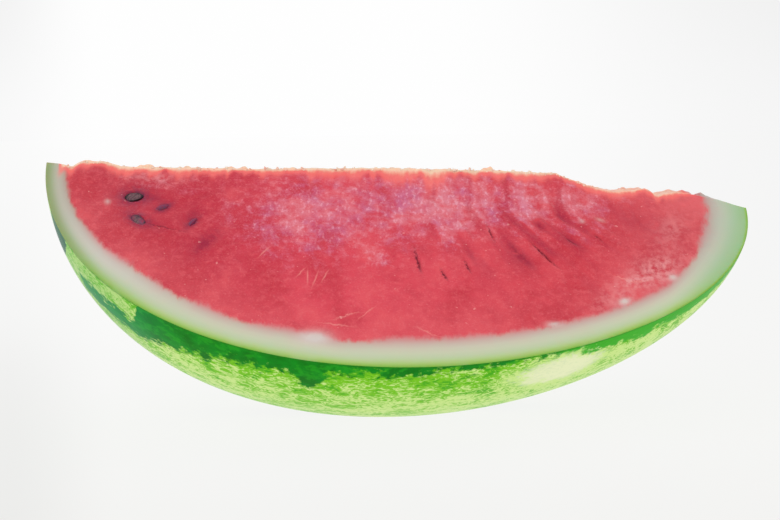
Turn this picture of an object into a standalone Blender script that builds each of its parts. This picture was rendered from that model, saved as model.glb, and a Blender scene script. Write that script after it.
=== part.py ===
"""A quarter of a watermelon, standing on its rind with the crest of the cut flesh up.

The melon is a turned egg whose long axis runs along X. Two flat knife cuts at a right angle leave the
wedge. At the right end the crest is broken away and has two bites in it. The front cut face, which looks
along -Y and up, has seeds in open pits and short cracks where other seeds have dropped out.

Places on the front cut face are given as (along, down): metres along the melon's axis from the middle of
its length, and metres down the cut face from that axis.
"""
import math

import bmesh
import bpy
from mathutils import Matrix, Vector

# The melon, in metres
HALF_LENGTH = 0.154
GIRTH_RADIUS = 0.104
TAPER = 0.127  # the left end is fuller and the right end slimmer by this share of the radius
AROUND = 128  # facets round the whole melon
ALONG = 60  # facets from end to end

# The cuts, in degrees and metres
WEDGE_ANGLE = 90.0  # between the two cut faces: the melon halved, and halved again
FRONT_LEAN = 47.7  # the front cut face from the vertical, where the wedge balances on its rind
AXIS_DIP = 6.1  # the right end lies lower by this angle, for the same reason
CREST_OVER_AXIS = 0.0064  # the second cut misses the melon's axis by this much at mid length
CREST_SKEW = 6.4  # and isn't parallel to the axis
BREAK_START = (0.068, -0.0131)  # where the broken stretch of the crest begins
BREAK_DIP = 7.0  # the broken stretch falls away to the right by this angle
KNIFE_SIZE = 0.5
REST_FLAT_DEPTH = 0.00025  # the rind gives this much under the wedge's weight, which leaves a small flat
WELD_DISTANCE = 0.00005

# The bites in the broken crest: along, down to the lowest point, half width, half length back to front
CREST_BITES = (
    (0.0930, -0.0046, 0.0200, 0.055),
    (0.1140, -0.0036, 0.0055, 0.040),
)

# Seeds, lying in pits that are open at the front cut face
SEED_LENGTH = 0.0080
SEED_WIDTH = 0.0054
SEED_THICKNESS = 0.0024
SEED_POINT = 0.35  # narrowing towards the pointed end, as a share of the width
PIT_GAP = 0.00045
# name, along, down, turn on the face and tip about the seed's own length in degrees, depth of its middle
SEEDS = (
    ("seed_upper", -0.1135, 0.0244, 20.0, 12.0, 0.0008),
    ("seed_lower", -0.1098, 0.0375, -28.0, 24.0, 0.0012),
    ("seed_inner", -0.1006, 0.0293, 35.0, 62.0, 0.0018),
    ("seed_deep", -0.0870, 0.0362, 62.0, 70.0, 0.0018),
)

CRACK_SINK = 0.0003  # how far the widest part of a crack lies under the cut face
# Cracks in the flesh: along, down, length, width, depth, and turn on the face in degrees
CRACKS = (
    (0.0080, 0.0470, 0.0130, 0.0016, 0.0022, -76.0),
    (0.0192, 0.0538, 0.0062, 0.0014, 0.0018, -62.0),
    (0.0290, 0.0478, 0.0070, 0.0016, 0.0020, -68.0),
    (0.0390, 0.0275, 0.0110, 0.0014, 0.0020, -70.0),
    (0.0515, 0.0385, 0.0160, 0.0026, 0.0022, -52.0),
    (0.0618, 0.0376, 0.0150, 0.0018, 0.0032, -50.0),
    (0.0735, 0.0281, 0.0075, 0.0016, 0.0016, -40.0),
    (0.0858, 0.0249, 0.0050, 0.0018, 0.0018, -45.0),
)

FLESH_RED = (0.62, 0.06, 0.09, 1.0)
SEED_BROWN = (0.05, 0.03, 0.025, 1.0)


def clear_scene():
    for thing in list(bpy.data.objects):
        bpy.data.objects.remove(thing, do_unlink=True)


def new_collection(name):
    group = bpy.data.collections.new(name)
    bpy.context.scene.collection.children.link(group)
    return group


def finish(name, colour, roughness):
    material = bpy.data.materials.new(name)
    material.use_nodes = True
    shader = material.node_tree.nodes["Principled BSDF"]
    shader.inputs["Base Color"].default_value = colour
    shader.inputs["Roughness"].default_value = roughness
    shader.inputs["Metallic"].default_value = 0.0
    return material


def egg_radius(share):
    """Radius of the melon at a share of its half length, from -1 at the left end to 1 at the right."""
    return GIRTH_RADIUS * math.sqrt(max(0.0, 1.0 - share * share)) * (1.0 - TAPER * share)


def half_outline():
    """Points of the melon's outline from its right end to its left end, as (radius, 0, along the axis)."""
    shares = [math.cos(math.pi * step / ALONG) for step in range(ALONG + 1)]
    return [(egg_radius(share), 0.0, HALF_LENGTH * share) for share in shares]


def turned_melon(name):
    """The whole melon: its half outline, swept round Z by a Screw, with the right end up."""
    outline = bpy.data.meshes.new(name)
    outline.from_pydata(half_outline(), [(i, i + 1) for i in range(ALONG)], [])
    melon = bpy.data.objects.new(name, outline)
    turn = melon.modifiers.new("turned", "SCREW")
    turn.axis = "Z"
    turn.angle = 2.0 * math.pi
    turn.steps = AROUND
    turn.render_steps = AROUND
    turn.use_merge_vertices = True
    turn.merge_threshold = 0.00001
    turn.use_smooth_shade = True
    melon.matrix_basis = Matrix.Rotation(math.radians(90.0), 4, "Y")
    return melon


# Directions in the melon's own frame, where X is its axis
LEAN = math.radians(FRONT_LEAN)
FACE_DOWN = Vector((0.0, -math.sin(LEAN), -math.cos(LEAN)))
FACE_OUT = Vector((0.0, -math.cos(LEAN), math.sin(LEAN)))


def on_face(along, down, out=0.0):
    """A point of the front cut face, or out of it."""
    return Vector((along, 0.0, 0.0)) + FACE_DOWN * down + FACE_OUT * out


def placed(origin, length_way, out_way):
    """The matrix whose X runs along length_way and whose Z runs along out_way, at origin."""
    side_way = out_way.cross(length_way)
    turn = Matrix((length_way, side_way, out_way)).transposed().to_4x4()
    return Matrix.Translation(origin) @ turn


def knife(name, origin, length_way, out_way):
    """A large block whose lower face is the cut: it takes away all that lies on the out_way side."""
    mesh = bpy.data.meshes.new(name)
    shape = bmesh.new()
    bmesh.ops.create_cube(shape, size=KNIFE_SIZE)
    bmesh.ops.translate(shape, verts=shape.verts, vec=(0.0, 0.0, KNIFE_SIZE / 2.0))
    shape.to_mesh(mesh)
    shape.free()
    block = bpy.data.objects.new(name, mesh)
    block.matrix_basis = placed(origin, length_way.normalized(), out_way.normalized())
    return block


def lens(name, half_sizes, point=0.0, segments=16, rings=10):
    """An ellipsoid with the given half sizes, narrowed towards +X by the share called point."""
    mesh = bpy.data.meshes.new(name)
    shape = bmesh.new()
    bmesh.ops.create_uvsphere(shape, u_segments=segments, v_segments=rings, radius=1.0)
    for vertex in shape.verts:
        narrow = 1.0 - point * (vertex.co.x + 1.0) / 2.0
        vertex.co = Vector(
            (
                vertex.co.x * half_sizes[0],
                vertex.co.y * half_sizes[1] * narrow,
                vertex.co.z * half_sizes[2] * narrow,
            )
        )
    shape.to_mesh(mesh)
    shape.free()
    mesh.shade_smooth()
    return bpy.data.objects.new(name, mesh)


def turned_on_face(turn, tip, along, down, depth):
    """The place of a seed or crack: turned on the face, tipped about its own length, and sunk."""
    angle = math.radians(turn)
    length_way = Vector((math.cos(angle), 0.0, 0.0)) - FACE_DOWN * math.sin(angle)
    flat = placed(on_face(along, down, -depth), length_way, FACE_OUT)
    return flat @ Matrix.Rotation(math.radians(tip), 4, "X")


def cut(solid, tool, tools):
    tools.objects.link(tool)
    tool.hide_render = True
    tool.display_type = "WIRE"
    boolean = solid.modifiers.new("cut_" + tool.name, "BOOLEAN")
    boolean.operation = "DIFFERENCE"
    boolean.solver = "EXACT"
    boolean.object = tool


def weld(solid):
    """Close up the slivers that the cuts leave."""
    tidy = solid.modifiers.new("slivers", "WELD")
    tidy.merge_threshold = WELD_DISTANCE


def second_cut():
    """The back cut: at WEDGE_ANGLE to the front face, along a crest that is skewed to the axis."""
    skew = math.radians(CREST_SKEW)
    crest_way = Vector((math.cos(skew), 0.0, 0.0)) - FACE_DOWN * math.sin(skew)
    front_in_plane = Matrix.Rotation(math.radians(WEDGE_ANGLE), 4, crest_way) @ FACE_DOWN
    back_out = front_in_plane.cross(crest_way)
    if back_out.dot(FACE_DOWN) > 0.0:
        back_out = -back_out
    return knife("back_knife", on_face(0.0, -CREST_OVER_AXIS), crest_way, back_out)


def broken_crest():
    """The level break that takes the crest off at the right end, falling away to the right."""
    dip = math.radians(BREAK_DIP)
    break_way = Vector((math.cos(dip), 0.0, 0.0)) + FACE_DOWN * math.sin(dip)
    up = break_way.cross(Vector((0.0, 1.0, 0.0)))
    return knife("crest_break", on_face(*BREAK_START), break_way, up)


def rest_flat():
    """The level cut that leaves the small flat of rind on which the wedge stands."""
    dip = math.radians(AXIS_DIP)
    down = Vector((math.sin(dip), 0.0, -math.cos(dip)))
    level = Vector((math.cos(dip), 0.0, math.sin(dip)))
    lowest = max(radius * math.cos(dip) + along * math.sin(dip) for radius, _, along in half_outline())
    return knife("rest_flat", down * (lowest - REST_FLAT_DEPTH), level, down)


def crest_bite(number, along, down, half_width, half_length):
    bite = lens(f"crest_bite_{number}", (half_width, half_length, half_width), 0.0, 24, 16)
    bite.matrix_basis = Matrix.Translation(on_face(along, down) + Vector((0.0, 0.0, half_width)))
    return bite


def make_seed(name, grow=0.0):
    half_sizes = (SEED_LENGTH / 2.0 + grow, SEED_WIDTH / 2.0 + grow, SEED_THICKNESS / 2.0 + grow)
    return lens(name, half_sizes, SEED_POINT)


def stand_on_floor(frame, solid):
    """Move the whole melon so that the wedge's box stands on Z = 0 with its bottom centred on the origin."""
    bpy.context.view_layer.update()
    shaped = solid.evaluated_get(bpy.context.evaluated_depsgraph_get())
    corners = [shaped.matrix_world @ vertex.co for vertex in shaped.data.vertices]
    low = Vector([min(corner[i] for corner in corners) for i in range(3)])
    high = Vector([max(corner[i] for corner in corners) for i in range(3)])
    frame.location -= Vector(((low.x + high.x) / 2.0, (low.y + high.y) / 2.0, low.z))


clear_scene()
parts = new_collection("watermelon_wedge")
tools = new_collection("cutters")

frame = bpy.data.objects.new("melon_axis", None)
frame.rotation_euler = (0.0, math.radians(AXIS_DIP), 0.0)
parts.objects.link(frame)

wedge = turned_melon("wedge")
wedge.data.materials.append(finish("flesh_and_rind", FLESH_RED, 0.35))
parts.objects.link(wedge)

seed_coat = finish("seed_coat", SEED_BROWN, 0.3)
seeds = []
pits = []
for name, along, down, turn, tip, depth in SEEDS:
    seed = make_seed(name)
    pit = make_seed(name + "_pit", PIT_GAP)
    for piece in (seed, pit):
        piece.matrix_basis = turned_on_face(turn, tip, along, down, depth)
    seed.data.materials.append(seed_coat)
    parts.objects.link(seed)
    seeds.append(seed)
    pits.append(pit)

cracks = []
for number, (along, down, length, width, depth, turn) in enumerate(CRACKS, 1):
    crack = lens(f"crack_{number}", (length / 2.0, width / 2.0, depth), 0.0, 12, 8)
    crack.matrix_basis = turned_on_face(turn, 0.0, along, down, CRACK_SINK)
    cracks.append(crack)

bites = [crest_bite(number, *bite) for number, bite in enumerate(CREST_BITES, 1)]
front_knife = knife("front_knife", Vector(), Vector((1.0, 0.0, 0.0)), FACE_OUT)
for tool in [front_knife, second_cut(), broken_crest(), rest_flat(), *bites, *pits, *cracks]:
    cut(wedge, tool, tools)
weld(wedge)

for piece in [wedge, *seeds, *tools.objects]:
    piece.parent = frame
stand_on_floor(frame, wedge)
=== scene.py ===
"""The looks of a quarter of a watermelon, which stands on its rind with the crest of the red flesh up.

Lengths are in metres. Places in the melon are (along, down, out): along the melon's axis from the middle
of its length, down the front cut face from that axis, and out of that face.
"""
import math

import bmesh
import bpy
import numpy as np
from mathutils import Matrix, Vector


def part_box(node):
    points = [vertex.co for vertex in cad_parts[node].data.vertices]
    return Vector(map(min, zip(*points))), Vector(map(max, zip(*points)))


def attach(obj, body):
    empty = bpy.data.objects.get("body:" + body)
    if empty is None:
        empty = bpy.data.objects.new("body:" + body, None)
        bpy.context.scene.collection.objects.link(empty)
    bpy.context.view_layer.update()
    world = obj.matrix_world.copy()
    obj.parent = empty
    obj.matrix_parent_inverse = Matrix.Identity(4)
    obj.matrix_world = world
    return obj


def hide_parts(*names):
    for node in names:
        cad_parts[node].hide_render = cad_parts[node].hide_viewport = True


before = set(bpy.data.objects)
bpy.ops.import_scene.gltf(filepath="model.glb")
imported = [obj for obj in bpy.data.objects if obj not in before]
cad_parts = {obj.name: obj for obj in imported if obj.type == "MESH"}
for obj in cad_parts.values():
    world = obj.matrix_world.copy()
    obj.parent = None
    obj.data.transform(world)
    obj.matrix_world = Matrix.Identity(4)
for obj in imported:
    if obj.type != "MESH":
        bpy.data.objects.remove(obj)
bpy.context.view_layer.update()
scene = bpy.context.scene

# ---------------------------------------------------------------------------------------------------------
# The melon's own frame. The whole fruit is a turned egg, fuller at its left end, and the wedge balances
# with its slim end a little lower. The front cut passes through the egg's axis and leans back.
# ---------------------------------------------------------------------------------------------------------
HALF_LENGTH = 0.154
GIRTH_RADIUS = 0.104
TAPER = 0.127
AXIS_DIP = math.radians(6.1)
FRONT_LEAN = math.radians(47.7)
CREST_OVER_AXIS = 0.0064
CREST_SKEW = math.radians(6.4)

ALONG = np.array([math.cos(AXIS_DIP), 0.0, -math.sin(AXIS_DIP)])
UPRIGHT = np.array([math.sin(AXIS_DIP), 0.0, math.cos(AXIS_DIP)])
BACKWARD = np.array([0.0, 1.0, 0.0])
FACE_DOWN = -math.sin(FRONT_LEAN) * BACKWARD - math.cos(FRONT_LEAN) * UPRIGHT
FACE_OUT = -math.cos(FRONT_LEAN) * BACKWARD + math.sin(FRONT_LEAN) * UPRIGHT


def egg_radius(along):
    """The radius of the whole melon: an ellipse, made fuller to the left and slimmer to the right."""
    share = along / HALF_LENGTH
    return GIRTH_RADIUS * np.sqrt(np.maximum(1.0 - share**2, 0.0)) * (1.0 - TAPER * share)


def melon_middle():
    """Where the middle of the melon's axis lies, worked out from the CAD wedge's box."""
    low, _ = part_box("wedge")
    along = np.linspace(-HALF_LENGTH, HALF_LENGTH, 20001)
    radius = egg_radius(along)
    left = (along * math.cos(AXIS_DIP) - radius * math.sin(AXIS_DIP)).min()
    front = -radius.max() * math.sin(FRONT_LEAN)
    under = (-along * math.sin(AXIS_DIP) - radius * math.cos(AXIS_DIP)).min()
    give = 0.00025  # the rind is flattened this much where it stands
    return np.array([low.x - left, low.y - front, low.z - under - give])


MIDDLE = melon_middle()


def in_room(along, down, out):
    """Points of the melon's frame as points of the room: the middle plus each distance along its way."""
    along, down, out = np.broadcast_arrays(along, down, out)
    return MIDDLE + along[..., None] * ALONG + down[..., None] * FACE_DOWN + out[..., None] * FACE_OUT


# ---------------------------------------------------------------------------------------------------------
# The camera stands a little over half a metre in front, a hand's breadth over the table, and looks
# slightly down at the cut face. It is turned about its own axis by less than a degree.
# ---------------------------------------------------------------------------------------------------------
CAMERA_PLACE = MIDDLE + np.array([-0.02544, -0.59366, 0.02333])
CAMERA_AZIMUTH = math.radians(-1.884)
CAMERA_ELEVATION = math.radians(5.643)
CAMERA_ROLL = math.radians(-0.901)
CAMERA_LENS = 62.3

camera = bpy.data.objects.new("camera", bpy.data.cameras.new("camera"))
camera.data.lens = CAMERA_LENS
camera.data.sensor_width = 36.0
camera.matrix_world = (
    Matrix.Translation(Vector(CAMERA_PLACE))
    @ Matrix.Rotation(CAMERA_AZIMUTH, 4, "Z")
    @ Matrix.Rotation(math.radians(90.0) - CAMERA_ELEVATION, 4, "X")
    @ Matrix.Rotation(CAMERA_ROLL, 4, "Z")
)
scene.collection.objects.link(camera)
scene.camera = camera
scene.view_settings.view_transform = "Standard"

# ---------------------------------------------------------------------------------------------------------
# The table is a pale lit surface in a bright white room, so that light comes from every side, also from
# under the rind, and the shadow of the wedge almost vanishes. The light fades a little to both sides and
# towards the camera.
# ---------------------------------------------------------------------------------------------------------


class Wire:
    """An output in a node tree. + - * / and ** on it, with a number on either side, add Math nodes."""

    def __init__(self, tree, socket):
        self.tree = tree
        self.socket = socket

    def add(self, kind, settings, inputs, output=0):
        """Adds a node of this kind: its settings are made first, then its sockets are filled or linked."""
        made = self.tree.nodes.new("ShaderNode" + kind)
        for name, value in settings.items():
            if name == "stops":
                ramp = made.color_ramp
                while len(ramp.elements) < len(value):
                    ramp.elements.new(1.0)
                for element, (position, colour) in zip(ramp.elements, value):
                    element.position = position
                    element.color = (*colour[:3], 1.0)
            else:
                setattr(made, name, value)
        for socket, value in inputs.items():
            if isinstance(value, Wire):
                self.tree.links.new(value.socket, made.inputs[socket])
            else:
                made.inputs[socket].default_value = value
        return Wire(self.tree, made.outputs[output])

    def maths(self, operation, *others):
        """A Math node of this operation on this output and the others."""
        return self.add("Math", {"operation": operation}, dict(enumerate((self, *others))))

    def __add__(self, other):
        return self.maths("ADD", other)

    __radd__ = __add__

    def __mul__(self, other):
        return self.maths("MULTIPLY", other)

    __rmul__ = __mul__

    def __sub__(self, other):
        return self.maths("SUBTRACT", other)

    def __rsub__(self, other):
        return (self * -1.0) + other

    def __truediv__(self, other):
        return self.maths("DIVIDE", other)

    def __rtruediv__(self, other):
        return self.add("Math", {"operation": "DIVIDE"}, {0: other, 1: self})

    def __rpow__(self, other):
        return self.add("Math", {"operation": "POWER"}, {0: other, 1: self})

    def __pow__(self, other):
        return self.maths("POWER", other)

    def step(self, start, end):
        """0 before start and 1 after end, with a smooth rise between them."""
        settings = {"interpolation_type": "SMOOTHSTEP"}
        return self.add("MapRange", settings, {0: self, 1: start, 2: end, 3: 0.0, 4: 1.0})

    def fall(self, start, end):
        """1 before start and 0 after end, with a smooth fall between them."""
        return self.step(end, start)

    def capped(self, most):
        """This output, but never more than most."""
        return self.maths("MINIMUM", most)

    def tint(self, colour, other):
        """The colour where this is 0, and the other where it is 1."""
        return self.add("Mix", {"data_type": "RGBA"}, {0: self, 6: colour, 7: other}, 2)

    def ramp(self, stops):
        """The colour that the stops give at this value."""
        return self.add("ValToRGB", {"stops": stops}, {0: self})


def start_material(name):
    """A new material, its shader, and the place on the piece as an output to build on."""
    material = bpy.data.materials.new(name)
    material.use_nodes = True
    tree = material.node_tree
    place = Wire(tree, tree.nodes.new("ShaderNodeTexCoord").outputs["Object"])
    return material, tree.nodes["Principled BSDF"], place


def kept_mask(place, name):
    """A mask that is kept at the mesh's points under this name."""
    return place.add("Attribute", {"attribute_name": name}, {}, 2)


def paint(red, green, blue):
    """A colour given as 0 to 255 screen values, as the linear light and the alpha that a shader takes."""
    shares = np.array([red, green, blue]) / 255.0
    linear = np.where(shares <= 0.04045, shares / 12.92, ((shares + 0.055) / 1.055) ** 2.4)
    return (*linear, 1.0)


TABLE_HALF = 20.0
TABLE_GREY = 0.04
BRIGHTEST = 0.993
REFLECTED = 0.038  # what the table's grey gives back of the room's light
FADE_START = 0.4  # nearer to the camera than this, the table's light changes no more
FRONT_FADE = 0.039  # light that the table has lost a metre in front of the camera
FRONT_WARMTH = 0.007  # blue that it has lost there as well


def side_shades(slant):
    """How far into the shade of the left and of the right side a line of sight is, by its slant."""
    return slant.fall(-0.26, -0.17), slant.step(0.05, 0.36)


table_mesh = bpy.data.meshes.new("table")
corners = TABLE_HALF * np.array([[-1, -1, 0], [1, -1, 0], [1, 1, 0], [-1, 1, 0]], dtype=float)
table_mesh.from_pydata(corners.tolist(), [], [(0, 1, 2, 3)])
table = bpy.data.objects.new("table", table_mesh)
scene.collection.objects.link(table)
table_finish, table_shader, place = start_material("lit_table")
sideways, backward = [place.add("SeparateXYZ", {}, {0: place}, axis) for axis in (0, 1)]
nearness = 1.0 / (backward - float(CAMERA_PLACE[1])).maths("MAXIMUM", FADE_START)
left_shade, right_shade = side_shades((sideways - float(CAMERA_PLACE[0])) * nearness)
left_shade = left_shade * (0.035 + 0.035 * nearness.step(1.0, 1.5))
right_shade = right_shade * (0.08 - 0.042 * nearness).maths("MAXIMUM", 0.0)
table_light = (BRIGHTEST - FRONT_FADE * nearness) * (1.0 - left_shade - right_shade) - REFLECTED
blue_light = table_light * (1.0 - FRONT_WARMTH * nearness)
warm = table_light.add("CombineXYZ", {}, {0: table_light, 1: table_light, 2: blue_light})
table_finish.node_tree.links.new(warm.socket, table_shader.inputs["Emission Color"])
table_shader.inputs["Base Color"].default_value = (TABLE_GREY, TABLE_GREY, TABLE_GREY, 1.0)
table_shader.inputs["Roughness"].default_value = 0.6
table_shader.inputs["Specular IOR Level"].default_value = 0.0
table_shader.inputs["Emission Strength"].default_value = 1.0
table_mesh.materials.append(table_finish)

world = bpy.data.worlds.new("white_room")
world.use_nodes = True
tree = world.node_tree
way = Wire(tree, tree.nodes.new("ShaderNodeTexCoord").outputs["Generated"])
sideways, upward = [way.add("SeparateXYZ", {}, {0: way}, axis) for axis in (0, 2)]
height = upward.step(0.0, 0.12)
left_shade, right_shade = side_shades(sideways)
left_shade = left_shade * (0.055 + 0.070 * height)
right_shade = right_shade * (0.085 + 0.045 * height)
room_light = BRIGHTEST * (1.0 - left_shade - right_shade)
tree.links.new(room_light.socket, tree.nodes["Background"].inputs["Strength"])
tree.nodes["Background"].inputs["Color"].default_value = (1.0, 1.0, 1.0, 1.0)
scene.world = world


def softbox(name, place, aim, width, height, watts):
    """A square lamp that faces the aim."""
    lamp = bpy.data.lights.new(name, "AREA")
    lamp.shape = "RECTANGLE"
    lamp.size = width
    lamp.size_y = height
    lamp.energy = watts
    box = bpy.data.objects.new(name, lamp)
    box.location = place
    box.rotation_mode = "QUATERNION"
    box.rotation_quaternion = (Vector(aim) - Vector(place)).to_track_quat("-Z", "Y")
    scene.collection.objects.link(box)


softbox("front_softbox", (-0.5, -1.2, 0.9), (0.0, 0.0, 0.05), 0.8, 0.6, 3.0)

# ---------------------------------------------------------------------------------------------------------
# The wedge: flesh, white rind and waxy striped skin, grown as one piece. A knife cut it lengthwise twice,
# and the crest tore away at the right end. The mesh is a loop of rows - front face, skin, back face and
# crest - carried from station to station along the melon.
# ---------------------------------------------------------------------------------------------------------
# The crest of the cut flesh: along, and down the front face from the melon's axis
CREST = np.array(
    [
        (-0.1540, 0.0089), (-0.1480, 0.0090), (-0.1425, 0.0099), (-0.1385, 0.0062), (-0.1290, 0.0058),
        (-0.1190, 0.0074), (-0.0880, 0.0040), (-0.0670, 0.0017), (-0.0450, -0.0014), (-0.0230, -0.0044),
        (0.0000, -0.0073), (0.0350, -0.0106), (0.0550, -0.0120), (0.0685, -0.0131), (0.0750, -0.0103),
        (0.0820, -0.0077), (0.0885, -0.0053), (0.0970, -0.0045), (0.1030, -0.0066), (0.1090, -0.0088),
        (0.1115, -0.0066), (0.1140, -0.0036), (0.1172, -0.0058), (0.1225, -0.0079), (0.1295, -0.0074),
        (0.1360, -0.0063), (0.1426, -0.0052), (0.1490, -0.0029), (0.1540, -0.0017),
    ]
)
CREST_SOFTENED = 0.00088
CREST_RAGGED = 0.00038
THINNEST_CREST = 0.0006  # from front to back
BACK_DROP = 0.005  # how soon behind the crest the back cut reaches the knife's plane
# Fibres: how far down they are upright, how they slant below that, and how fast they spread
FAN_TOP = 0.014
FAN_SLANT = 0.17
FAN_SPREAD = 19.0
# Heights of the relief: on the front face, on top of the broken crest, and on the back cut
SWELL = 0.00030
GRAIN = 0.00017
GROOVE = 0.00060
HOLLOW_DEPTH = 0.0006
CRACK_SHARE = 0.35  # of a crack's depth, the share that its lips open to
PIT_RIM = 0.00035
TORN_HEIGHT = 0.0016
TORN_SUNK = 0.0004
BACK_SWELL = 0.00040
BACK_GRAIN = 0.00022
FRINGE_GLOW_HEIGHT = 0.0026  # how far down from the crest the torn flesh is pale and glows with painted light
SCRATCH_HALF_WIDTH = 0.00028

# Seeds: along, down, turn on the face in degrees, half length and half width of the pit, and its depth
SEED_PITS = (
    (-0.1135, 0.0244, 20.0, 0.0041, 0.0028, 0.0012),
    (-0.1098, 0.0375, -28.0, 0.0036, 0.0020, 0.0010),
    (-0.1006, 0.0293, 35.0, 0.0026, 0.0011, 0.0007),
    (-0.0870, 0.0362, 62.0, 0.0026, 0.0009, 0.0006),
)
# Cracks: along, down, length, width, depth, turn on the face in degrees, and how dark the painted shade in
# them is
CRACKS = (
    (0.0080, 0.0470, 0.0124, 0.0024, 0.0022, -76.0, 1.25),
    (0.0192, 0.0538, 0.0058, 0.0024, 0.0018, -62.0, 1.20),
    (0.0290, 0.0478, 0.0070, 0.0022, 0.0020, -68.0, 0.85),
    (0.0390, 0.0275, 0.0110, 0.0020, 0.0020, -70.0, 0.80),
    (0.0515, 0.0385, 0.0140, 0.0026, 0.0010, -52.0, 0.35),
    (0.0618, 0.0376, 0.0144, 0.0022, 0.0032, -50.0, 1.20),
    (0.0735, 0.0281, 0.0075, 0.0016, 0.0016, -40.0, 0.60),
    (0.0858, 0.0249, 0.0050, 0.0018, 0.0018, -45.0, 0.70),
    (-0.0985, 0.0405, 0.0170, 0.0010, 0.0005, -13.0, 0.80),
)
# Scratches of the knife and loose fibres, paler than the flesh: along, down, half length, and turn
SCRATCHES = (
    (-0.0400, 0.0590, 0.0028, 58.0), (-0.0370, 0.0610, 0.0036, 94.0), (-0.0338, 0.0622, 0.0038, 78.0),
    (-0.0300, 0.0600, 0.0032, 70.0), (-0.0560, 0.0500, 0.0034, 55.0), (-0.0200, 0.0800, 0.0050, 24.0),
    (-0.0120, 0.0775, 0.0040, 48.0), (-0.0240, 0.0850, 0.0060, -4.0), (0.0130, 0.0850, 0.0050, -22.0),
    (0.1000, 0.0480, 0.0046, 8.0), (0.0940, 0.0470, 0.0032, -16.0),
)
# Milky spots where the rind reaches into the flesh: along, down, half length, half width, turn, strength
MILKY = (
    (-0.0320, 0.0925, 0.0060, 0.0032, 6.0, 1.1), (0.0640, 0.0752, 0.0032, 0.0012, 8.0, 0.8),
    (0.0940, 0.0600, 0.0028, 0.0016, 30.0, 0.9), (0.1160, 0.0440, 0.0020, 0.0016, 40.0, 0.8),
    (-0.1240, 0.0290, 0.0011, 0.0014, 0.0, 0.6), (0.0790, 0.0160, 0.0012, 0.0010, 0.0, 0.4),
    (0.0870, 0.0140, 0.0022, 0.0010, -20.0, 0.35),
)
# Hollows, in which painted shade darkens the flesh: along, down, half length, half width, turn in degrees,
# and how strong
HOLLOWS = (
    (-0.0800, 0.0470, 0.0085, 0.0030, 62.0, 1.05),
    (-0.0880, 0.0340, 0.0065, 0.0026, 78.0, 0.75),
    (-0.0995, 0.0290, 0.0040, 0.0022, 60.0, 0.60),
    (-0.1130, 0.0250, 0.0070, 0.0045, 20.0, 0.60),
    (-0.1050, 0.0245, 0.0065, 0.0024, -12.0, 0.55),
    (-0.1060, 0.0385, 0.0080, 0.0026, -20.0, 0.55),
    (0.0480, 0.0360, 0.0075, 0.0026, -58.0, 0.60),
    (0.0535, 0.0415, 0.0065, 0.0022, -52.0, 0.60),
    (0.0740, 0.0280, 0.0050, 0.0020, -45.0, 0.65),
    (0.0800, 0.0200, 0.0034, 0.0020, -40.0, 0.50),
    (0.0690, 0.0120, 0.0042, 0.0026, -60.0, 0.50),
    (0.0300, 0.0400, 0.0060, 0.0018, -68.0, 0.50),
    (0.0620, 0.0330, 0.0080, 0.0016, -50.0, 0.50),
    (0.1030, 0.0130, 0.0120, 0.0075, -30.0, 0.28),
    (0.0604, 0.0208, 0.0036, 0.0022, -50.0, 0.80),
    (0.0715, 0.0158, 0.0034, 0.0020, -50.0, 0.55),
)
# Frosty patches, where the cells are torn open: along, down, half length, half width, turn, and how strong
FROST = (
    (-0.0420, 0.0280, 0.0270, 0.0230, 0.0, 1.0),
    (0.0050, 0.0140, 0.0300, 0.0230, 0.0, 0.95),
    (0.0520, 0.0100, 0.0360, 0.0190, 0.0, 0.76),
    (-0.0080, 0.0480, 0.0050, 0.0035, 0.0, 0.6),
    (-0.1040, 0.0140, 0.0200, 0.0080, 0.0, 0.4),
    (0.0740, 0.0030, 0.0110, 0.0080, 0.0, 0.50),
    (0.0940, 0.0020, 0.0090, 0.0040, 0.0, 0.40),
)
# Pale streaky patches: along, down, half length, half width, turn, and how strong
PALE = (
    (0.1090, 0.0420, 0.0140, 0.0070, 38.0, 1.2),
    (0.0970, 0.0490, 0.0065, 0.0022, 16.0, 1.0),
    (0.1180, 0.0160, 0.0100, 0.0060, 60.0, 0.5),
    (0.0900, 0.0600, 0.0100, 0.0060, 25.0, 0.6),
    (-0.1080, 0.0120, 0.0120, 0.0040, 0.0, 0.5),
)
# Where the face has grooves between its fibres: along, down, half length, half width, turn, and how strong
GROOVED = ((0.038, 0.022, 0.046, 0.030, 0.0, 1.0), (-0.085, 0.038, 0.020, 0.020, 0.0, 0.5))
# Where the colour runs in streaks along the fibres, in the same order
STREAKED = ((0.048, 0.018, 0.050, 0.034, 0.0, 1.0), (-0.090, 0.036, 0.030, 0.024, 0.0, 0.4))
# The rind: share of the way along, and millimetres of rind before the flesh is half red
RIND_THICKNESS = (
    (0.00, 8.0), (0.04, 9.2), (0.07, 10.6), (0.11, 12.1), (0.15, 14.8), (0.20, 14.8), (0.30, 13.6),
    (0.36, 14.4), (0.43, 12.8), (0.50, 15.2), (0.60, 15.1), (0.75, 14.2), (0.80, 13.6), (0.87, 13.2),
    (0.90, 16.2), (0.93, 19.4), (1.00, 22.0),
)
RAMP_TOP = 20.0  # the millimetres that a ramp's white stands for
# Colours from the skin inwards: share of the rind's thickness, and the colour
RIND_RAMP_END = 1.25
RIND_COLOURS = (
    (0.00, (110, 165, 60)), (0.035, (142, 188, 78)), (0.11, (168, 198, 114)), (0.20, (182, 203, 145)),
    (0.32, (192, 204, 168)), (0.45, (200, 204, 176)), (0.60, (203, 197, 177)), (0.74, (201, 180, 168)),
    (0.86, (204, 156, 150)), (0.97, (212, 128, 130)), (1.10, (220, 104, 110)),
)
# Where the rind is whitest: share of its depth, share of the way along, and half the reach of both
WHITEST = (0.62, 0.10, 0.30, 0.10)
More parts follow.
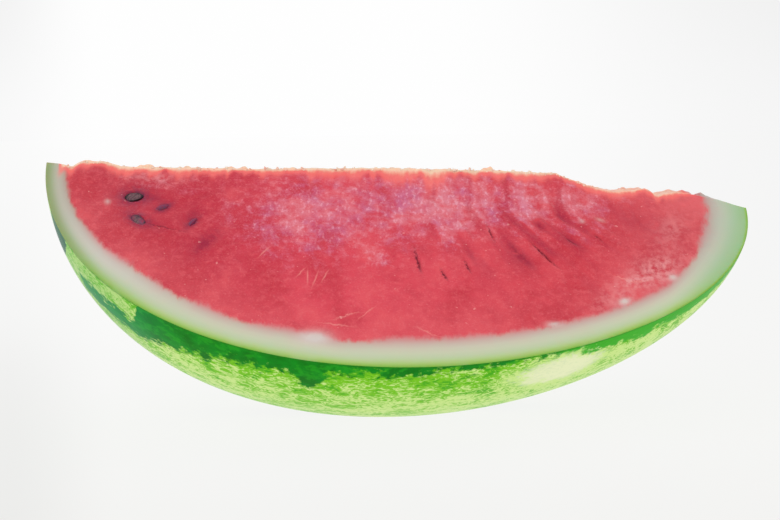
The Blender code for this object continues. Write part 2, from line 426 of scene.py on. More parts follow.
# The flesh, from the left end to the right
FLESH_COLOURS = (
    (0.00, (190, 52, 68)), (0.22, (196, 46, 66)), (0.38, (221, 68, 86)), (0.55, (219, 68, 84)),
    (0.75, (212, 61, 75)), (0.86, (214, 78, 88)), (1.00, (220, 104, 104)),
)
# Stripes of the skin, in degrees round from the front rim: where each starts and ends, along the melon
STRIPES = (
    (
        ((0.00, -9.0), (0.050, -9.0), (0.060, 9.0), (0.158, 9.0), (0.178, -9.0), (1.00, -9.0)),
        (
            (0.00, -9.0), (0.024, -9.0), (0.030, 20.0), (0.049, 20.0), (0.056, 0.0), (0.070, 4.0),
            (0.080, 18.0), (0.12, 18.5), (0.18, 15.5), (0.25, 8.0), (0.37, 5.0), (0.395, 11.0),
            (0.42, 4.0), (0.60, 1.5), (0.65, 1.0), (0.70, 0.0), (0.78, 5.0), (0.87, 6.0), (1.00, 6.0),
        ),
    ),
    (
        ((0.00, 42.0), (0.20, 46.0), (0.45, 44.0), (0.70, 46.0), (1.00, 44.0)),
        ((0.00, 52.0), (0.25, 56.0), (0.50, 55.0), (0.75, 57.0), (1.00, 52.0)),
    ),
    (
        ((0.00, 78.0), (0.25, 81.0), (0.50, 79.0), (0.75, 82.0), (1.00, 80.0)),
        ((0.00, 88.0), (0.25, 91.0), (0.50, 92.0), (0.75, 91.0), (1.00, 90.0)),
    ),
)
# The creamy patch where the melon lay on the ground: along, radians round, and half the reach of both
CREAMY = (0.0685, 0.17, 0.019, 0.13)
LEAST_ANGLE, ANGLE_SPAN = -10.0, 120.0  # the angles that a stripe's ramp can hold, from black to white
# Bands of the map for baking, as shares of its height: front, skin, back and crest
MAP_BANDS = ((0.0, 0.31), (0.32, 0.67), (0.68, 0.93), (0.94, 1.0))
MAP_MARGIN = 0.01


def smooth_step(value, start, end):
    """0 before start and 1 after end, with a smooth rise between them."""
    share = np.clip((value - start) / (end - start), 0.0, 1.0)
    return share * share * (3.0 - 2.0 * share)


def lattice_noise(across, down, seed):
    """Smooth noise from -1 to 1: a random value at each whole-number point, blended with a quintic."""
    values = np.random.default_rng(seed).uniform(-1.0, 1.0, (256, 256))
    column, row = np.floor(across).astype(int), np.floor(down).astype(int)
    u, v = across - column, down - row
    u = u**3 * (u * (6.0 * u - 15.0) + 10.0)
    v = v**3 * (v * (6.0 * v - 15.0) + 10.0)
    left, right, top, under = column & 255, (column + 1) & 255, row & 255, (row + 1) & 255
    here = values[left, top] * (1.0 - u) + values[right, top] * u
    below = values[left, under] * (1.0 - u) + values[right, under] * u
    return here * (1.0 - v) + below * v


def rough_noise(across, down, seed, octaves):
    """Lattice noise summed over octaves, each twice as fine and about half as high as the last."""
    total = 0.0
    for octave in range(octaves):
        finer = 2.0**octave
        layer = lattice_noise(across * finer + 17.3 * octave, down * finer, seed + octave)
        total = total + layer / finer**0.9
    return total


def spaced(low, high, spacing):
    """Values from low to high whose steps follow the spacing function, found by counting steps."""
    fine = np.linspace(low, high, 20001)
    steps_each = 1.0 / spacing(fine)
    count = np.concatenate([[0.0], np.cumsum((steps_each[1:] + steps_each[:-1]) / 2.0 * np.diff(fine))])
    return np.interp(np.linspace(0.0, count[-1], int(math.ceil(count[-1])) + 1), count, fine)


def crest_down(along):
    """The crest line, down the front face: its points joined, softened with a bell, and made ragged."""
    step = 0.0004
    fine = np.arange(-0.160, 0.1601, step)
    line = np.interp(fine, CREST[:, 0], CREST[:, 1])
    kernel = np.exp(-0.5 * (np.arange(-6, 7) * step / CREST_SOFTENED) ** 2)
    line = np.convolve(np.pad(line, 6, "edge"), kernel / kernel.sum(), "valid")
    in_flesh = smooth_step(along, -0.148, -0.142) * (1.0 - smooth_step(along, 0.128, 0.138))
    ragged = CREST_RAGGED * rough_noise(along / 0.0021, along * 0.0 + 3.5, 41, 2)
    return np.interp(along, fine, line) + ragged * in_flesh


def turned(along, down, turn):
    """Distances along and across a mark that is turned on the face by this many degrees."""
    angle = math.radians(turn)
    run = along * math.cos(angle) - down * math.sin(angle)
    side = along * math.sin(angle) + down * math.cos(angle)
    return run, side


def soft_spot(along, down, middle_along, middle_down, half_length, half_width, turn=0.0):
    """1 in the middle of a turned ellipse, falling off as a bell: e to minus its distance squared."""
    run, side = turned(along - middle_along, down - middle_down, turn)
    run, side = run / half_length, side / half_width
    return math.e ** (0.0 - run * run - side * side)


def spotted(along, down, spots):
    """All the soft spots of a list added up, each as strong as the list says."""
    return sum(strength * soft_spot(along, down, *spot) for *spot, strength in spots)


def rind_depth(along, across):
    """Depth under the skin: one minus the egg's level, over the steepness of that level."""
    share = along / HALF_LENGTH
    girth = GIRTH_RADIUS * (1.0 - TAPER * share)
    part = across / girth
    level = (share * share + part * part + 1e-6) ** 0.5
    slope = (share * share / HALF_LENGTH**2 + part * part / (girth * girth) + 1e-6) ** 0.5
    return (1.0 - level) * level / slope


def fan_across(along, down):
    """Which fibre of the flesh a place is on: upright near the crest, and spreading to both ends below."""
    below = down - FAN_TOP
    below = (below + (below * below + 0.00004) ** 0.5) / 2.0
    return (along - FAN_SLANT * below) / (1.0 + FAN_SPREAD * below)


def front_relief(along, down):
    """Height of the front face: soft swells, crumbly grain, grooves between fibres, pits and cracks."""
    flesh = smooth_step(rind_depth(along, down), 0.008, 0.015)
    crumbly, grooved = spotted(along, down, FROST), spotted(along, down, GROOVED)
    height = SWELL * rough_noise(along / 0.016, down / 0.014, 3, 2)
    height = height + GRAIN * rough_noise(along / 0.0034, down / 0.0028, 11, 3) * (0.4 + crumbly)
    fibre = fan_across(along, down)
    height = height + GROOVE * rough_noise(fibre / 0.0058, down / 0.020, 23, 2) * grooved
    height = height - HOLLOW_DEPTH * spotted(along, down, HOLLOWS)
    for crack_along, crack_down, length, width, depth, turn, _ in CRACKS:
        run, side = turned(along - crack_along, down - crack_down, turn)
        ends = np.clip(1.0 - (run / (length * 0.55)) ** 2, 0.0, 1.0)
        height = height - CRACK_SHARE * depth * ends * np.exp(-((side / (width * 0.36)) ** 2))
    height = height * flesh
    for seed_along, seed_down, turn, half_length, half_width, sink in SEED_PITS:
        run, side = turned(along - seed_along, down - seed_down, turn)
        reach = np.sqrt((run / half_length) ** 2 + (side / half_width) ** 2)
        height = height - sink * (1.0 - smooth_step(reach, 0.55, 1.15))
        height = height + PIT_RIM * np.exp(-(((reach - 1.3) / 0.2) ** 2))
    return height


def station_spacing(along):
    """Steps along the melon: finer where there are seeds, fibres or bites, and closer towards the ends."""
    wide = np.where(along < 0.0, 0.00120, np.where(along < 0.092, 0.00064, 0.00085))
    wide = np.where((along > -0.121) & (along < -0.080), 0.00075, wide)
    return np.minimum(wide, 0.00006 + 0.0100 * np.sqrt(np.maximum(HALF_LENGTH**2 - along**2, 0.0)))


def left_tip():
    """Where the crest line meets the skin at the left end, found by halving."""
    low, high = -HALF_LENGTH, -0.150
    for _ in range(50):
        middle = (low + high) / 2.0
        outside = egg_radius(np.array(middle)) < crest_down(np.array(middle))
        low, high = (middle, high) if outside else (low, middle)
    return high


def front_spacing(share):
    """Steps down the front face: finest at the crest, and widest in the smooth lower part."""
    return np.where(share < 0.05, 0.0048, np.where(share < 0.6, 0.0072, 0.0130))


def back_spacing(share):
    """Steps up the back cut: finest at the crest."""
    return np.where(share > 0.92, 0.008, 0.026)


FRONT_SHARES = spaced(0.0, 1.0, front_spacing)
SKIN_SHARES = np.linspace(0.0, 1.0, 37)
BACK_SHARES = spaced(0.0, 1.0, back_spacing)
BAND_SHARES = np.linspace(0.0, 1.0, 10)


def wedge_loops(stations):
    """Each station's loop round the wedge, in the melon's frame, and how far down its crest is.

    Down the front face, round the skin, along the back cut, and over the broken crest, which is level
    from front to back and ends at the back cut or at the skin.
    """
    along = stations[:, None]
    radius = egg_radius(along)
    crest = np.clip(crest_down(along), -radius, radius)
    knife = -CREST_OVER_AXIS - math.tan(CREST_SKEW) * along
    lean, rise = math.sin(FRONT_LEAN), math.cos(FRONT_LEAN)
    thin = THINNEST_CREST * smooth_step(along, stations[0], stations[0] + 0.006)
    to_skin = crest * lean + np.sqrt(np.maximum((crest * lean) ** 2 + radius**2 - crest**2, 0.0))
    level = np.minimum(np.maximum((crest - knife) / lean, thin), to_skin)
    band_down, band_behind = crest - level * lean, level * rise

    def back_down(behind):
        return knife + (band_down - knife) * np.exp(-(behind - band_behind) / BACK_DROP)

    inner, outer = band_behind, radius
    for _ in range(40):
        middle = (inner + outer) / 2.0
        inside = back_down(middle) ** 2 + middle**2 < radius**2
        inner, outer = np.where(inside, middle, inner), np.where(inside, outer, middle)
    angle = np.arctan2(inner, back_down(inner)) * SKIN_SHARES[1:]
    behind = inner + (band_behind - inner) * BACK_SHARES[1:]
    over = BAND_SHARES[1:-1]
    down = [
        crest + (radius - crest) * FRONT_SHARES,
        radius * np.cos(angle),
        back_down(behind),
        band_down + (crest - band_down) * over,
    ]
    out = [0.0 * FRONT_SHARES + 0.0 * along, -radius * np.sin(angle), -behind, -band_behind * (1.0 - over)]
    return along + 0.0 * np.hstack(down), np.hstack(down), np.hstack(out), crest


stations = spaced(left_tip(), HALF_LENGTH, station_spacing)
along, down, out, crest = wedge_loops(stations)
front_rows, skin_rows = len(FRONT_SHARES), len(SKIN_SHARES) - 1
back_rows = len(BACK_SHARES) - 1
front = slice(0, front_rows)
back = slice(front_rows + skin_rows, front_rows + skin_rows + back_rows)
band = slice(front_rows + skin_rows + back_rows, None)

under_crest = down[:, front] - crest
out[:, front] += front_relief(along[:, front], down[:, front])
behind = -out[:, back]
back_flesh = smooth_step(rind_depth(along[:, back], np.hypot(down[:, back], behind)), 0.008, 0.015)
back_swell = BACK_SWELL * rough_noise(along[:, back] / 0.015, behind / 0.013, 61, 2)
back_grain = BACK_GRAIN * rough_noise(along[:, back] / 0.0036, behind / 0.0034, 71, 2)
down[:, back] -= (back_swell + back_grain) * back_flesh
band_flesh = smooth_step(rind_depth(along[:, band], np.hypot(down[:, band], out[:, band])), 0.006, 0.014)
torn = TORN_HEIGHT * rough_noise(along[:, band] / 0.0062, -out[:, band] / 0.0050, 81, 3) - TORN_SUNK
torn = torn * band_flesh * np.sin(np.pi * BAND_SHARES[1:-1])
down[:, band] -= torn * math.cos(FRONT_LEAN)
out[:, band] += torn * math.sin(FRONT_LEAN)

# The rind is flat where the wedge stands
points = in_room(along, down, out)
points[..., 2] = np.maximum(points[..., 2], 0.0)


def loop_faces(steps, rows):
    """Squares between each loop and the next, all the way round."""
    here = np.arange(steps * rows).reshape(steps, rows)
    beside = np.roll(here, -1, axis=1)
    return np.stack([here[:-1], beside[:-1], beside[1:], here[1:]], axis=-1).reshape(-1, 4)


def add_mesh(name, points, faces, materials, **masks):
    """A new piece from an array of points and one of faces, with a value at each point for each mask."""
    mesh = bpy.data.meshes.new(name)
    mesh.from_pydata(points.reshape(-1, 3).tolist(), [], faces.tolist())
    for mask, values in masks.items():
        layer = mesh.attributes.new(mask, "FLOAT", "POINT")
        layer.data.foreach_set("value", np.ascontiguousarray(values, dtype=np.float32).ravel())
    for material in materials:
        mesh.materials.append(material)
    piece = bpy.data.objects.new(name, mesh)
    scene.collection.objects.link(piece)
    return piece


def melon_place(place):
    """Along, down and out in the melon's frame, from the place in the room."""
    from_middle = place.add("VectorMath", {"operation": "SUBTRACT"}, {0: place, 1: MIDDLE})
    return [
        place.add("VectorMath", {"operation": "DOT_PRODUCT"}, {0: from_middle, 1: way}, 1)
        for way in (ALONG, FACE_DOWN, FACE_OUT)
    ]


def noise(place, scale, detail=3.0, roughness=0.55, distortion=0.0):
    """Noise from 0 to 1 at a place, with this many features to the metre."""
    inputs = {"Vector": place, "Scale": scale, "Detail": detail, "Roughness": roughness}
    return place.add("TexNoise", {}, {**inputs, "Distortion": distortion})


def vector(x, y, z):
    """Three values as one place."""
    return x.add("CombineXYZ", {}, {0: x, 1: y, 2: z})


# The cut face and the back cut: wet red flesh, which pales to white rind and then to green under the skin
cut, cut_shader, place = start_material("cut_flesh_and_rind")
m_along, m_down, m_out = melon_place(place)
across = (m_down * m_down + m_out * m_out) ** 0.5
lengthwise = m_along / (2.0 * HALF_LENGTH) + 0.5
mask_names = ("frost", "bruise", "streaked", "pale", "near_seeds", "milky", "fringe")
frost, bruise, streaked, pale, near_seeds, milky, fringe = [kept_mask(place, name) for name in mask_names]

rind_stops = [(spot, (mm / RAMP_TOP,) * 3) for spot, mm in RIND_THICKNESS]
thickness = lengthwise.ramp(rind_stops) * (RAMP_TOP / 1000.0)
fibrous = noise(vector(m_along, m_down * 0.45, m_out), 420.0, 4.0, 0.65)
cloudy = noise(place, 70.0, 2.0)
depth = rind_depth(m_along, across)
deep = depth / thickness
ripe = deep + (fibrous - 0.5) * 0.38 + (cloudy - 0.5) * 0.42
rind = (deep / RIND_RAMP_END).ramp(
    [(spot / RIND_RAMP_END, paint(*colour)) for spot, colour in RIND_COLOURS]
)
rind = (cloudy.step(0.45, 0.75) * 0.25).tint(rind, paint(192, 204, 176))
outer = deep.fall(0.10, 0.62)
left_end = lengthwise.fall(0.02, 0.22)
rind = (outer * left_end * 0.70).tint(rind, paint(122, 170, 84))
# At the right end the thin rind is paler green and grey-green: partly its own colour, partly painted light
# shining through it
right_end = lengthwise.step(0.86, 0.97)
rind = (outer * right_end * deep.step(0.02, 0.08) * 0.60).tint(rind, paint(156, 200, 142))
rind = (right_end * deep.step(0.02, 0.08) * 0.28).tint(rind, paint(146, 172, 164))
far_left = lengthwise.fall(0.03, 0.12)
rind = (far_left * 0.55).tint(rind, paint(150, 146, 122))
whitest = soft_spot(deep, lengthwise, *WHITEST)
rind = (whitest * 0.55).tint(rind, paint(204, 200, 194))

flesh = lengthwise.ramp([(spot, paint(*colour)) for spot, colour in FLESH_COLOURS])
low_down = ripe.fall(1.1, 2.6)
flesh = (low_down * 0.45).tint(flesh, paint(224, 90, 98))
broad = noise(place, 48.0, 3.0, 0.6)
flesh = (broad.step(0.44, 0.68) * 0.60).tint(flesh, paint(190, 32, 54))
flesh = (broad.fall(0.30, 0.48) * 0.40).tint(flesh, paint(236, 98, 104))
mealy = noise(place, 330.0, 4.0, 0.65)
flesh = (mealy.step(0.46, 0.70) * 0.35).tint(flesh, paint(232, 104, 112))
fibre = fan_across(m_along, m_down)
streaks = noise(vector(fibre, m_down * 0.22, m_out * 0.4), 125.0, 2.0, 0.5)
flesh = (streaks.step(0.46, 0.68) * streaked * 0.75).tint(flesh, paint(178, 28, 62))

lumps = noise(vector(m_along, m_down * 1.6, m_out), 115.0, 2.0, 0.55, 0.2)
grain = noise(place, 1300.0, 3.0, 0.7)
frosty = lumps * 0.36 + mealy * 0.40 + grain * 0.24 + frost * 0.20 - bruise * 0.4
frosty = frosty - (streaks - 0.5) * streaked * 0.9
frosted = frosty.step(0.52, 0.86) * frost.step(0.02, 0.35)
frost_colour = broad.step(0.40, 0.60).tint(paint(226, 142, 158), paint(200, 112, 154))
flesh = (frosted * 0.80).tint(flesh, frost_colour)
# Painted highlights: fine pale glints on the frosty patches
frost_glints = noise(vector(m_along, m_down * 0.6, m_out), 640.0, 2.0, 0.6)
flesh = (frosted * frost_glints.step(0.50, 0.68) * 0.45).tint(flesh, paint(246, 196, 210))
flesh = (grain.step(0.52, 0.75) * 0.32).tint(flesh, paint(238, 128, 134))
flesh = (pale * mealy.step(0.32, 0.64) * 0.85).capped(0.9).tint(flesh, paint(230, 148, 150))
# Painted shade: the flesh is darker in its hollows
flesh = (bruise * 1.15 * mealy.step(0.22, 0.62)).capped(1.0).tint(flesh, paint(164, 20, 58))
flesh = (near_seeds * mealy.step(0.26, 0.62) * 1.15).capped(1.0).tint(flesh, paint(112, 42, 76))

on_front = m_out.step(-0.005, -0.0025)
# Painted shade: the cracks are dark maroon, as if in shadow
painted_crack_shade = 0.0 * on_front
jagged = noise(place, 900.0, 2.0)
jagged_along, jagged_down = m_along + (jagged - 0.5) * 0.0028, m_down + (mealy - 0.5) * 0.0030
for crack_along, crack_down, length, width, _, turn, darkness in CRACKS:
    crack_shade_spot = soft_spot(jagged_along, jagged_down, crack_along, crack_down, length * 0.42, width * 0.24, turn)
    painted_crack_shade = painted_crack_shade.maths("MAXIMUM", (crack_shade_spot * darkness).capped(1.0))
painted_crack_shade = painted_crack_shade * (0.25 + jagged.step(0.34, 0.58))
flesh = (painted_crack_shade * on_front).capped(0.92).tint(flesh, paint(116, 6, 36))

scratched = 0.0 * on_front
wavy_down = m_down + (mealy - 0.5) * 0.004
for mark_along, mark_down, half_length, turn in SCRATCHES:
    scratch = soft_spot(m_along, wavy_down, mark_along, mark_down, half_length, SCRATCH_HALF_WIDTH, turn)
    scratched = scratched.maths("MAXIMUM", scratch)
flesh = (scratched * on_front * 0.42).tint(flesh, paint(244, 172, 162))
specks = noise(place, 520.0, 1.0, 0.5).step(0.76, 0.80)
flesh = (specks * 0.35).tint(flesh, paint(246, 190, 186))

surface = ripe.step(0.84, 1.08).tint(rind, flesh)
surface = (milky * (0.6 + mealy * 0.8)).capped(0.85).tint(surface, paint(214, 206, 200))
# Painted light: under the thin torn crest the flesh glows orange and then cream, as if light shone through
# it; the cream is partly the torn flesh's own colour
under_crest_light = (fringe + (broad - 0.5) * 0.22).step(0.02, 0.28)
surface = (under_crest_light * 0.76).tint(surface, paint(250, 116, 112))
glow = fringe + (fibrous - 0.5) * 0.45 * fringe.step(0.02, 0.3)
surface = (glow.step(0.16, 0.72) * 0.60).tint(surface, paint(244, 146, 120))
surface = (glow.step(0.36, 0.86) * 0.85).tint(surface, paint(252, 218, 188))
cut.node_tree.links.new(surface.socket, cut_shader.inputs["Base Color"])
wet = 0.36 + (grain - 0.5) * 0.30 + ripe.step(0.8, 1.1) * -0.04
cut.node_tree.links.new(wet.socket, cut_shader.inputs["Roughness"])
cut_shader.inputs["Specular IOR Level"].default_value = 0.22
cut_shader.inputs["Subsurface Weight"].default_value = 0.35
cut_shader.inputs["Subsurface Radius"].default_value = (1.0, 0.35, 0.30)
cut_shader.inputs["Subsurface Scale"].default_value = 0.0030
pulp = (grain * 0.5 + mealy * 0.8 + fibrous * 0.5) * ripe.step(0.8, 1.15)
bumped = place.add("Bump", {}, {"Strength": 0.6, "Distance": 0.0007, "Height": pulp})
cut.node_tree.links.new(bumped.socket, cut_shader.inputs["Normal"])

# The skin: waxy, with jagged dark green stripes along the melon on a pale, finely mottled ground
skin, skin_shader, place = start_material("striped_skin")
m_along, m_down, m_out = melon_place(place)
lengthwise = m_along / (2.0 * HALF_LENGTH) + 0.5
turn_round = (m_out * -1.0).maths("ARCTAN2", m_down)
on_skin = vector(m_along, turn_round * GIRTH_RADIUS * 0.9, 0.0 * m_along)
lobes = noise(on_skin, 75.0, 3.0, 0.6)
jags = noise(on_skin, 330.0, 4.0, 0.65)
ragged_turn = turn_round + (lobes - 0.5) * 0.24 + (jags - 0.5) * 0.22
striped = 0.0 * m_along
for start, end in STRIPES:
    top, foot = [
        lengthwise.ramp([(spot, ((angle - LEAST_ANGLE) / ANGLE_SPAN,) * 3) for spot, angle in edge])
        * math.radians(ANGLE_SPAN) + math.radians(LEAST_ANGLE)
        for edge in (start, end)
    ]
    inside = (ragged_turn - top).step(-0.02, 0.02) * (foot - ragged_turn).step(-0.03, 0.02)
    striped = striped.maths("MAXIMUM", inside)

stretched = vector(m_along * 0.58, m_down, m_out)
veins = noise(stretched, 430.0, 3.0, 0.6, 1.8)
mottle = noise(stretched, 120.0, 4.0, 0.65, 0.6)
near_stripe = ragged_turn.fall(0.06, 0.30) * lengthwise.fall(0.62, 0.74) * lengthwise.step(0.17, 0.22)
greener = (mottle - 0.5) * 2.4 + (veins - 0.5) * 3.6 + (lobes - 0.5) * 0.8 + near_stripe * 0.48
greener = (greener - lengthwise.step(0.50, 0.66) * 0.16).step(-0.24, 0.36)
ground = greener.tint(paint(208, 238, 140), paint(122, 202, 20))
left_green = lengthwise.fall(0.10, 0.22)
ground = (left_green * 0.35).tint(ground, paint(96, 176, 100))
blotched = mottle * 0.6 + veins * 0.4 + near_stripe * 0.06
ground = (blotched.step(0.56, 0.66) * 0.85).tint(ground, paint(50, 166, 10))
dark = noise(on_skin, 120.0, 3.0).step(0.35, 0.65).tint(paint(0, 116, 2), paint(0, 140, 18))
dark = ((jags * 0.4 + mottle * 0.6).step(0.49, 0.58) * 0.60).tint(dark, paint(34, 166, 22))
dark = (lengthwise.fall(0.10, 0.24) * 0.55).tint(dark, paint(30, 158, 96))
dark = (lengthwise.fall(0.056, 0.066) * 0.8).tint(dark, paint(14, 84, 70))
dark = (lengthwise.step(0.68, 0.74) * 0.8).tint(dark, paint(66, 188, 30))
surface = striped.tint(ground, dark)
creamy = soft_spot(m_along, turn_round, *CREAMY)
creamy = (creamy * 1.5 + (lobes - 0.5) * 1.2 + (veins - 0.5) * 1.6).step(0.45, 1.05)
surface = (creamy * 0.85).tint(surface, paint(244, 246, 206))
surface = (turn_round.fall(0.004, 0.016) * 0.5).tint(surface, paint(30, 120, 14))
skin.node_tree.links.new(surface.socket, skin_shader.inputs["Base Color"])
skin_shader.inputs["Roughness"].default_value = 0.38
skin_shader.inputs["Specular IOR Level"].default_value = 0.05
skin_shader.inputs["Sheen Weight"].default_value = 0.12
skin_shader.inputs["Sheen Roughness"].default_value = 0.25
waxy = place.add("Bump", {}, {"Strength": 0.25, "Distance": 0.0004, "Height": jags + mottle})
skin.node_tree.links.new(waxy.socket, skin_shader.inputs["Normal"])

# How strong each mark is at each point of the mesh
frost_mask = spotted(along, down, FROST)
# The fringe: pale torn flesh with a painted glow of light through it, under the crest, on the broken crest
# and on the back cut near it
fringe_glow_mask = np.zeros_like(along)
at = stations[:, None]
in_flesh = smooth_step(at, -0.149, -0.146) * (1.0 - smooth_step(at, 0.125, 0.136))
fringe_glow_height = FRINGE_GLOW_HEIGHT * (1.0 + 0.6 * rough_noise(at / 0.006, at * 0.0 + 0.5, 91, 3))
fringe_glow_height = fringe_glow_height * (1.0 + 0.7 * np.exp(-(((at - 0.005) / 0.030) ** 2)))
broken = smooth_step(at, 0.062, 0.076)
fringe_glow_height = fringe_glow_height * (1.0 - 0.15 * broken)
front_fringe_glow = np.exp(-np.maximum(under_crest, 0.0) / fringe_glow_height)
fringe_glow_mask[:, front] = front_fringe_glow * in_flesh * (1.0 - 0.28 * broken)
fringe_glow_mask[:, band] = (0.75 - 0.10 * broken) * in_flesh
fringe_glow_mask[:, back] = np.exp(np.minimum(out[:, back] - out[:, back][:, -1:], 0.0) / 0.003) * in_flesh * 0.75
seed_mask = sum(
    soft_spot(along, down, spot_along, spot_down, half_length * 1.5, half_width * 1.7, turn)
    for spot_along, spot_down, turn, half_length, half_width, _ in SEED_PITS
)
# The back cut has frosty patches like the front's, and no other marks
facing = np.ones_like(along)
facing[:, back] = 0.0
frost_mask[:, back] = 0.75 * spotted(along[:, back], behind, FROST)

wedge = add_mesh(
    "wedge_flesh_rind_and_skin",
    points,
    loop_faces(*along.shape),
    [cut, skin],
    frost=frost_mask,
    bruise=spotted(along, down, HOLLOWS) * facing,
    streaked=spotted(along, down, STREAKED) * facing,
    pale=spotted(along, down, PALE) * facing,
    near_seeds=seed_mask * facing,
    milky=spotted(along, down, MILKY) * facing,
    fringe=fringe_glow_mask,
)
row_of_face = np.tile(np.arange(along.shape[1]), len(stations) - 1)
is_skin = (row_of_face >= front_rows - 1) & (row_of_face < front_rows + skin_rows - 1)
wedge.data.polygons.foreach_set("material_index", is_skin.astype(np.int32))

# The map for baking: the front, the skin, the back and the crest in bands, one above the other
share_across = (along + HALF_LENGTH) / (2.0 * HALF_LENGTH)
rows_of_part = [FRONT_SHARES, SKIN_SHARES, BACK_SHARES, BAND_SHARES]
up_ends = np.concatenate(
    [low + (high - low) * shares for (low, high), shares in zip(MAP_BANDS, rows_of_part)]
)
starts = np.concatenate([[0], np.cumsum([len(shares) for shares in rows_of_part])])
lower = np.concatenate([np.arange(starts[i], starts[i + 1] - 1) for i in range(4)])
u_here, u_next = share_across[:-1], share_across[1:]
v_low, v_high = (np.broadcast_to(up_ends[lower + step], u_here.shape) for step in (0, 1))
corners = [(u_here, v_low), (u_here, v_high), (u_next, v_high), (u_next, v_low)]
flat_map = np.stack([np.stack(pair, axis=-1) for pair in corners], axis=-2)
flat_map = flat_map * (1.0 - 2.0 * MAP_MARGIN) + MAP_MARGIN
layer = wedge.data.uv_layers.new(name="OFBake")
layer.uv.foreach_set("vector", flat_map.astype(np.float32).ravel())


def weld(piece, distance):
    """Joins points that fall together at poles and seams."""
    shape = bmesh.new()
    shape.from_mesh(piece.data)
    bmesh.ops.remove_doubles(shape, verts=shape.verts, dist=distance)
    shape.to_mesh(piece.data)
    shape.free()


weld(wedge, 0.000001)
wedge.data.shade_smooth()
wedge.data.set_sharp_from_angle(angle=math.radians(52.0))
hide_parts("wedge")
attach(wedge, "root")

# ---------------------------------------------------------------------------------------------------------
# Crumbs of torn flesh that stand up along the crest, from the left end to the first bite: small lumpy
# balls, pale, and soft to the light.
# ---------------------------------------------------------------------------------------------------------
CRUMB_COUNT = 430
CRUMB_REACH = (-0.147, 0.086)
CRUMB_SIZES = (0.00024, 0.00062)
CRUMB_RINGS = 6
CRUMB_SIDES = 8

chance = np.random.default_rng(7)
crumb_along = chance.uniform(*CRUMB_REACH, CRUMB_COUNT)
crumb_size = chance.uniform(*CRUMB_SIZES, CRUMB_COUNT) * (0.7 + 0.6 * chance.random(CRUMB_COUNT) ** 3)
crumb_down = crest_down(crumb_along) + chance.uniform(-0.00035, 0.0011, CRUMB_COUNT)
crumb_out = chance.uniform(-0.0012, 0.0001, CRUMB_COUNT)
crumb_stretch = chance.uniform(0.7, 1.6, (CRUMB_COUNT, 3))
crumb_lumps = chance.uniform(0.72, 1.25, (CRUMB_COUNT, CRUMB_RINGS - 1, CRUMB_SIDES))


def crumbs():
    """Small lumpy balls: rings from pole to pole, each point pushed in or out by chance."""
    slope = np.linspace(0.0, np.pi, CRUMB_RINGS + 1)[:, None]
    turn = -np.arange(CRUMB_SIDES)[None, :] * 2.0 * np.pi / CRUMB_SIDES
    sphere = (np.sin(slope) * np.cos(turn), np.sin(slope) * np.sin(turn), np.cos(slope))
    ball = np.stack(np.broadcast_arrays(*sphere), -1)
    lumpy = np.broadcast_to(ball, (CRUMB_COUNT, *ball.shape)).copy()
    lumpy[:, 1:-1] *= crumb_lumps[..., None]
    middles = in_room(crumb_along, crumb_down, crumb_out)
    points = middles[:, None, None] + lumpy * (crumb_size[:, None] * crumb_stretch)[:, None, None]
    faces = loop_faces(CRUMB_RINGS + 1, CRUMB_SIDES)
    offsets = np.arange(CRUMB_COUNT)[:, None, None] * (CRUMB_RINGS + 1) * CRUMB_SIDES
    return points, (faces[None] + offsets).reshape(-1, 4)


crumb_finish, crumb_shader, place = start_material("torn_flesh_crumbs")
paleness = noise(place, 160.0, 3.0)
colour = paleness.step(0.42, 0.70).tint(paint(250, 226, 204), paint(236, 140, 120))
crumb_finish.node_tree.links.new(colour.socket, crumb_shader.inputs["Base Color"])
crumb_shader.inputs["Roughness"].default_value = 0.3
crumb_shader.inputs["Specular IOR Level"].default_value = 0.3
crumb_shader.inputs["Subsurface Weight"].default_value = 0.15
crumb_shader.inputs["Subsurface Radius"].default_value = (1.0, 0.5, 0.4)
crumb_shader.inputs["Subsurface Scale"].default_value = 0.0004
crumb_points, crumb_faces = crumbs()
crest_crumbs = add_mesh("crest_crumbs", crumb_points, crumb_faces, [crumb_finish])
weld(crest_crumbs, 0.0000005)
crest_crumbs.data.shade_smooth()
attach(crest_crumbs, "root")

# ---------------------------------------------------------------------------------------------------------
# The seeds: hard flat drops with a raised edge, held in the flesh. The coat is nearly black at the edge and
# greyer in the middle, with a wet sheen, and a film of flesh hides part of it.
# ---------------------------------------------------------------------------------------------------------
SEED_LENGTH = 0.0080
SEED_WIDTH = 0.0054
SEED_THICKNESS = 0.0024
SEED_POINT = 0.35  # how much narrower the drop is towards its point
SEED_EDGE = 0.35  # how much thicker it is at its raised edge
SEED_FLATTENED = 0.92  # so that the raised edge adds little to the thickness
SEED_RINGS = 33
SEED_SIDES = 40
# Name, along, down, turn on the face and tip about the seed's own length in degrees, depth of its middle,
# and how much of it a film of flesh hides
SEEDS = (
    ("seed_upper", -0.1135, 0.0244, 20.0, 12.0, 0.0008, 0.22),
    ("seed_lower", -0.1098, 0.0375, -28.0, 24.0, 0.0012, 0.50),
    ("seed_inner", -0.1006, 0.0293, 35.0, 62.0, 0.0018, 0.72),
    ("seed_deep", -0.0870, 0.0362, 62.0, 70.0, 0.0018, 0.80),
)

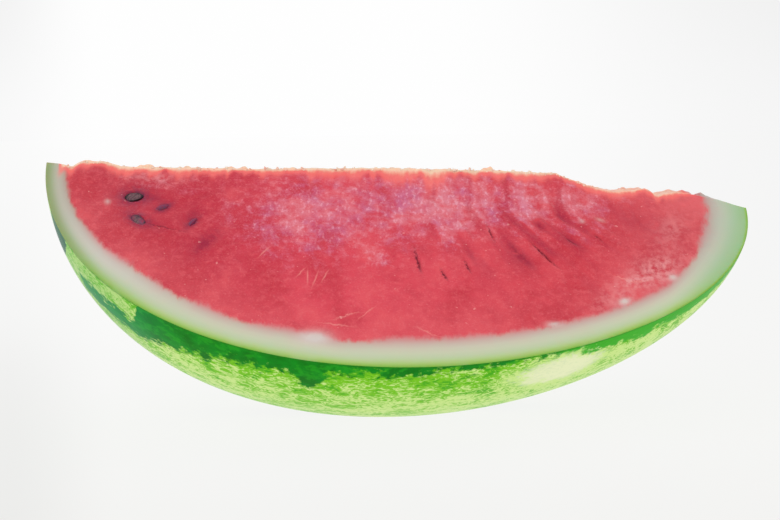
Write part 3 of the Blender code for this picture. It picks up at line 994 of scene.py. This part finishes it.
seed_finish, seed_shader, place = start_material("wet_seed_coat")
edge = kept_mask(place, "edge")
mottle = noise(place, 1400.0, 3.0)
middle = mottle.step(0.35, 0.65).tint(paint(118, 84, 88), paint(82, 54, 62))
colour = (edge + (mottle - 0.5) * 0.5).step(0.35, 0.75).tint(middle, paint(34, 14, 24))
film = kept_mask(place, "film")
blotchy = noise(place, 420.0, 3.0, 0.6)
film_colour = mottle.step(0.35, 0.65).tint(paint(150, 34, 66), paint(112, 62, 96))
colour = (film + (blotchy - 0.5) * 1.6).step(0.25, 0.75).tint(colour, film_colour)
seed_finish.node_tree.links.new(colour.socket, seed_shader.inputs["Base Color"])
seed_shader.inputs["Roughness"].default_value = 0.38
seed_shader.inputs["Specular IOR Level"].default_value = 0.3


def seed_shape():
    """A drop from pole to pole: an ellipse of width and thickness that narrows to its point, with its
    edge raised a little, and how near each place is to that edge."""
    slope = np.linspace(0.0, np.pi, SEED_RINGS)[:, None]
    turn = np.arange(SEED_SIDES)[None, :] * 2.0 * np.pi / SEED_SIDES
    narrow = (1.0 - SEED_POINT * (1.0 - np.cos(slope)) / 2.0) * np.sin(slope)
    raised = 1.0 + SEED_EDGE * np.exp(-(((np.abs(np.cos(turn)) - 0.80) / 0.10) ** 2)) * np.sin(slope)
    length = -SEED_LENGTH / 2.0 * np.cos(slope) + 0.0 * turn
    width = SEED_WIDTH / 2.0 * narrow * np.cos(turn)
    height = SEED_THICKNESS / 2.0 * narrow * np.sin(turn) * raised * SEED_FLATTENED
    reach = (length / (SEED_LENGTH / 2.0)) ** 2 + (np.cos(turn) * np.sin(slope)) ** 2
    return length, width, height, reach


seed_x, seed_y, seed_z, seed_edge = seed_shape()
for name, along, down, turn, tip, depth, film in SEEDS:
    turn, tip = math.radians(turn), math.radians(tip)
    length_way = ALONG * math.cos(turn) - FACE_DOWN * math.sin(turn)
    side_way = np.cross(FACE_OUT, length_way)
    width_way = side_way * math.cos(tip) + FACE_OUT * math.sin(tip)
    height_way = FACE_OUT * math.cos(tip) - side_way * math.sin(tip)
    middle = in_room(np.array(along), np.array(down), np.array(-depth))
    ways = zip((seed_x, seed_y, seed_z), (length_way, width_way, height_way))
    places = middle + sum(distance[..., None] * way for distance, way in ways)
    masks = {"edge": seed_edge, "film": np.full_like(seed_edge, film)}
    seed = add_mesh(name + "_coat", places, loop_faces(*seed_x.shape), [seed_finish], **masks)
    weld(seed, 0.0000005)
    seed.data.shade_smooth()
    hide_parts(name)
    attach(seed, "root")

bpy.context.view_layer.update()
